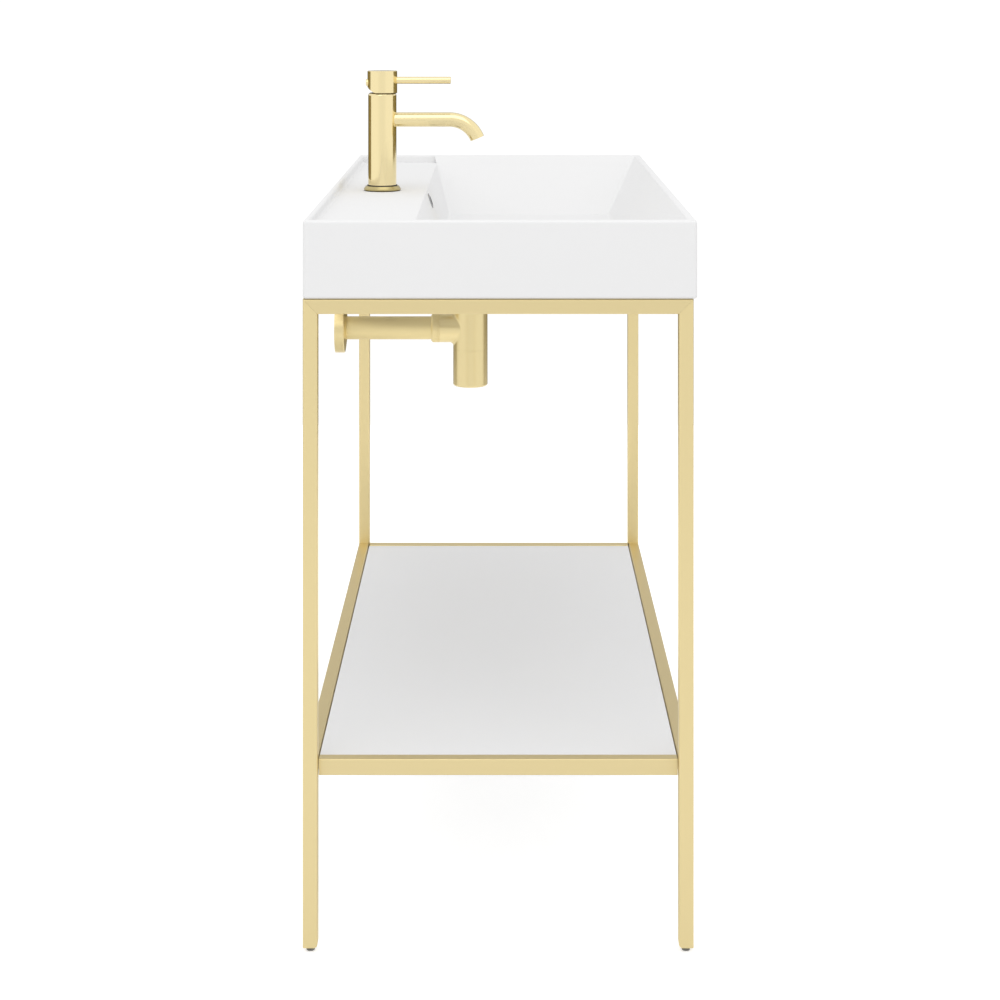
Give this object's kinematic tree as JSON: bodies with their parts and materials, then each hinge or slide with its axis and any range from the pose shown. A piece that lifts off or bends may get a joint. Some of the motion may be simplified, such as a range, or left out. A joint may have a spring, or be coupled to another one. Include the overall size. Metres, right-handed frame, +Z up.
{
  "type": "console sink with legs",
  "caption": "Rectangular trough washbasin on a square-tube leg frame with a lower shelf, single-lever mixer tap, press-plug waste and bottle trap.",
  "frame": {"origin": "on the floor, under the middle of the basin's 1000 by 460 mm outline", "axes": "+Z up; +Y from the user towards the wall; +X along the basin to the user's right"},
  "size_m": [1, 0.46, 1.0095],
  "materials": {
    "ceramic": "smooth white glaze",
    "shelf": "satin white",
    "frame": "satin pale gold",
    "tap_brass": "brushed pale gold",
    "trap_brass": "satin pale gold",
    "steel": "plain zinc grey",
    "chrome": "polished",
    "seal": "matt black",
    "glide": "matt grey",
    "plastic": "matt"
  },
  "bodies": {
    "fixture": {"basin": "ceramic", "bedding_strip": "seal", "cartridge_nut": "trap_brass", "clamp_nut": "steel", "clamp_rubber": "seal", "clamp_steel": "steel", "leg_front_left": "frame", "leg_front_right": "frame", "leg_rear_left": "frame", "leg_rear_right": "frame", "outlet_pipe": "trap_brass", "overflow_ring": "chrome", "shelf_cross_rail_left": "frame", "shelf_cross_rail_right": "frame", "shelf_front_rail": "frame", "shelf_pads": "glide", "shelf_panel": "shelf", "shelf_rear_rail": "frame", "shelf_tabs": "frame", "tap_aerator": "plastic", "tap_base_ring": "tap_brass", "tap_base_seal": "seal", "tap_body": "tap_brass", "tap_body_seal": "seal", "tap_cartridge": "plastic", "tap_spout": "tap_brass", "tap_stud": "steel", "top_cross_rail_left": "frame", "top_cross_rail_right": "frame", "top_front_rail": "frame", "top_rear_rail": "frame", "trap_body": "trap_brass", "trap_cup": "trap_brass", "trap_inlet_pipe": "trap_brass", "trap_inlet_seal": "seal", "trap_outlet_nut": "trap_brass", "trap_outlet_ring": "trap_brass", "trap_tail_nut": "trap_brass", "trap_top_nut": "trap_brass", "wall_flange": "trap_brass", "waste_back_nut": "trap_brass", "waste_body": "trap_brass", "waste_lower_seal": "seal", "waste_seal": "seal"},
    "handle_base": {"handle_carrier": "trap_brass", "handle_pin": "steel"},
    "handle_head": {"handle_spindle": "trap_brass", "handle_cap": "tap_brass", "tap_lever": "tap_brass", "handle_grub_screw": "steel", "handle_plug": "tap_brass"},
    "plug": {"waste_plug": "trap_brass"},
    "foot_front_left": {"foot_screw_front_left": "steel", "foot_glide_front_left": "glide"},
    "foot_front_right": {"foot_screw_front_right": "steel", "foot_glide_front_right": "glide"},
    "foot_rear_left": {"foot_screw_rear_left": "steel", "foot_glide_rear_left": "glide"},
    "foot_rear_right": {"foot_screw_rear_right": "steel", "foot_glide_rear_right": "glide"}
  },
  "joints": [
    {"name": "handle_swivel", "type": "hinge", "parent": "fixture", "child": "handle_base", "pos_m": [0, 0.165, 0.96], "axis": [0, 0, 1], "range_deg": [-45, 45]},
    {"name": "handle_lift", "type": "hinge", "parent": "handle_base", "child": "handle_head", "pos_m": [0, 0.165, 0.975], "axis": [-1, 0, 0], "range_deg": [0, 22]},
    {"name": "plug_rise", "type": "slide", "parent": "fixture", "child": "plug", "axis": [0, 0, 1], "range_m": [0, 0.008]},
    {"name": "foot_front_left_screw", "type": "slide", "parent": "fixture", "child": "foot_front_left", "axis": [0, 0, -1], "range_m": [-0.003, 0.012]},
    {"name": "foot_front_right_screw", "type": "slide", "parent": "fixture", "child": "foot_front_right", "axis": [0, 0, -1], "range_m": [-0.003, 0.012]},
    {"name": "foot_rear_left_screw", "type": "slide", "parent": "fixture", "child": "foot_rear_left", "axis": [0, 0, -1], "range_m": [-0.003, 0.012]},
    {"name": "foot_rear_right_screw", "type": "slide", "parent": "fixture", "child": "foot_rear_right", "axis": [0, 0, -1], "range_m": [-0.003, 0.012]}
  ]
}
